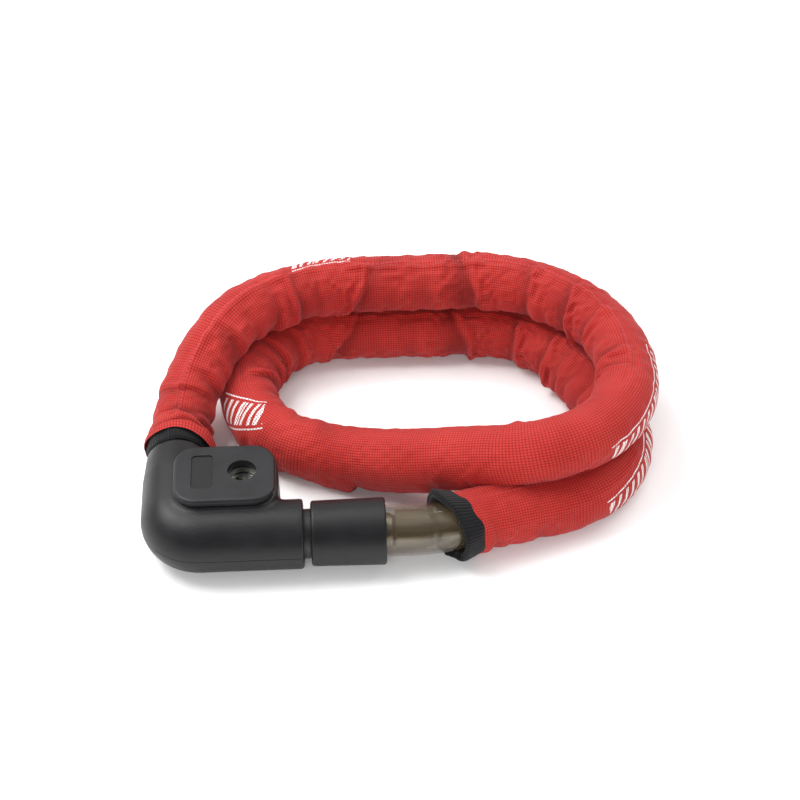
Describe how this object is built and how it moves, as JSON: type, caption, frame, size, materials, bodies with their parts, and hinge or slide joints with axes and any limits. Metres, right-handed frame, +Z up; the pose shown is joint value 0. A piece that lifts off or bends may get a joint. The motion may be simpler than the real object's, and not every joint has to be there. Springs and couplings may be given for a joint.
{
  "type": "armoured cable lock",
  "caption": "Coiled armoured cable lock: L-shaped head with a key cylinder, a plug that swivels in a socket, a shelled cable in a woven sleeve.",
  "frame": {"origin": "the key cylinder's axis on the flat foot under the lock head", "axes": "+Z up out of the keyhole, +X from the head along the socket towards the plug, +Y back along the arm that anchors the cable"},
  "size_m": [0.2293, 0.1673, 0.0515],
  "materials": {
    "head_plastic": "black nylon, fine moulded grain",
    "cast_housing": "cast and machined steel, unpainted",
    "steel": "turned steel",
    "core_steel": "turned, nickel plated",
    "chrome_trim": "bright chrome",
    "disc_brass": "stamped brass",
    "armour_steel": "hardened steel, turned",
    "wire_rope": "stranded steel wire",
    "smoked_hose": "smoked translucent PVC, glossy",
    "sleeve_fabric": "woven red polyester sleeve",
    "hem_elastic": "black ribbed elastic hem, stitched",
    "gasket_rubber": "moulded O-ring"
  },
  "bodies": {
    "lock_head": {"upper_cover": "head_plastic", "lower_cover": "head_plastic", "tower_cap": "head_plastic", "cover_screws": "steel", "lock_housing": "cast_housing", "bolt_cover_plate": "steel", "plate_rivets": "steel", "socket_bush": "steel", "anti_drill_plate": "steel", "keyhole_ring": "chrome_trim", "cylinder_shell": "steel", "cylinder_pin": "steel", "anchor_ferrule": "steel", "anchor_pins": "steel", "anchor_hose": "smoked_hose", "anchor_rope": "wire_rope", "head_hem": "hem_elastic"},
    "key_core": {"cylinder_core": "core_steel", "detainer_discs": "disc_brass", "core_crank": "steel"},
    "bolt": {"locking_bolt": "steel"},
    "cable_1": {"sleeve_1": "sleeve_fabric", "hose_1": "smoked_hose", "armour_1": "armour_steel", "rope_1": "wire_rope"},
    "cable_2": {"sleeve_2": "sleeve_fabric", "hose_2": "smoked_hose", "armour_2": "armour_steel", "rope_2": "wire_rope"},
    "cable_3": {"sleeve_3": "sleeve_fabric", "hose_3": "smoked_hose", "armour_3": "armour_steel", "rope_3": "wire_rope"},
    "cable_4": {"sleeve_4": "sleeve_fabric", "hose_4": "smoked_hose", "armour_4": "armour_steel", "rope_4": "wire_rope"},
    "cable_5": {"sleeve_5": "sleeve_fabric", "hose_5": "smoked_hose", "armour_5": "armour_steel", "rope_5": "wire_rope"},
    "cable_6": {"sleeve_6": "sleeve_fabric", "hose_6": "smoked_hose", "armour_6": "armour_steel", "rope_6": "wire_rope"},
    "cable_7": {"sleeve_7": "sleeve_fabric", "hose_7": "smoked_hose", "armour_7": "armour_steel", "rope_7": "wire_rope", "plug_ferrule": "steel", "plug_hem": "hem_elastic"},
    "plug": {"plug_stud": "steel", "plug_gasket": "gasket_rubber", "plug_collar": "head_plastic", "collar_pin": "steel", "swivel_clip": "steel"}
  },
  "joints": [
    {"name": "key_turn", "type": "hinge", "parent": "lock_head", "child": "key_core", "pos_m": [0, 0, 0.02], "axis": [0, 0, -1], "range_deg": [0, 90]},
    {"name": "bolt_slide", "type": "slide", "parent": "lock_head", "child": "bolt", "axis": [0, -1, 0], "range_m": [0, 0.00283]},
    {"name": "cable_open", "type": "hinge", "parent": "lock_head", "child": "cable_1", "pos_m": [-0.0293, 0.0382, 0.015], "axis": [0, 0, -1], "range_deg": [0, 8.3]},
    {"name": "cable_bend_2", "type": "hinge", "parent": "cable_1", "child": "cable_2", "pos_m": [0.05162, 0.12019, 0.0392], "axis": [0, 0, 1], "range_deg": [0, 16.69]},
    {"name": "cable_bend_3", "type": "hinge", "parent": "cable_2", "child": "cable_3", "pos_m": [0.16539, 0.08364, 0.0392], "axis": [0, 0, 1], "range_deg": [0, 1.81]},
    {"name": "cable_bend_4", "type": "hinge", "parent": "cable_3", "child": "cable_4", "pos_m": [0.10738, 0.00728, 0.0355], "axis": [0, 0, -1], "range_deg": [0, 17.22]},
    {"name": "cable_bend_5", "type": "hinge", "parent": "cable_4", "child": "cable_5", "pos_m": [0.00212, 0.06846, 0.013], "axis": [0, 0, -1], "range_deg": [0, 2.81]},
    {"name": "cable_bend_6", "type": "hinge", "parent": "cable_5", "child": "cable_6", "pos_m": [0.09856, 0.1172, 0.013], "axis": [0, 0, 1], "range_deg": [0, 17.01]},
    {"name": "cable_bend_7", "type": "hinge", "parent": "cable_6", "child": "cable_7", "pos_m": [0.16952, 0.02872, 0.013], "axis": [0, 0, -1], "range_deg": [0, 7.17]},
    {"name": "plug_swivel", "type": "hinge", "parent": "cable_7", "child": "plug", "pos_m": [0.045, -0.0198, 0.015], "axis": [1, 0, 0], "continuous": true}
  ],
  "couplings": [
    {"joint": "bolt_slide", "follows": "key_turn", "m_per_rad": 0.0018006},
    {"joint": "cable_bend_2", "follows": "cable_open", "ratio": 2.0085},
    {"joint": "cable_bend_3", "follows": "cable_open", "ratio": 0.21542},
    {"joint": "cable_bend_4", "follows": "cable_open", "ratio": 2.0727},
    {"joint": "cable_bend_5", "follows": "cable_open", "ratio": 0.33654},
    {"joint": "cable_bend_6", "follows": "cable_open", "ratio": 2.0468},
    {"joint": "cable_bend_7", "follows": "cable_open", "ratio": 0.8615}
  ]
}
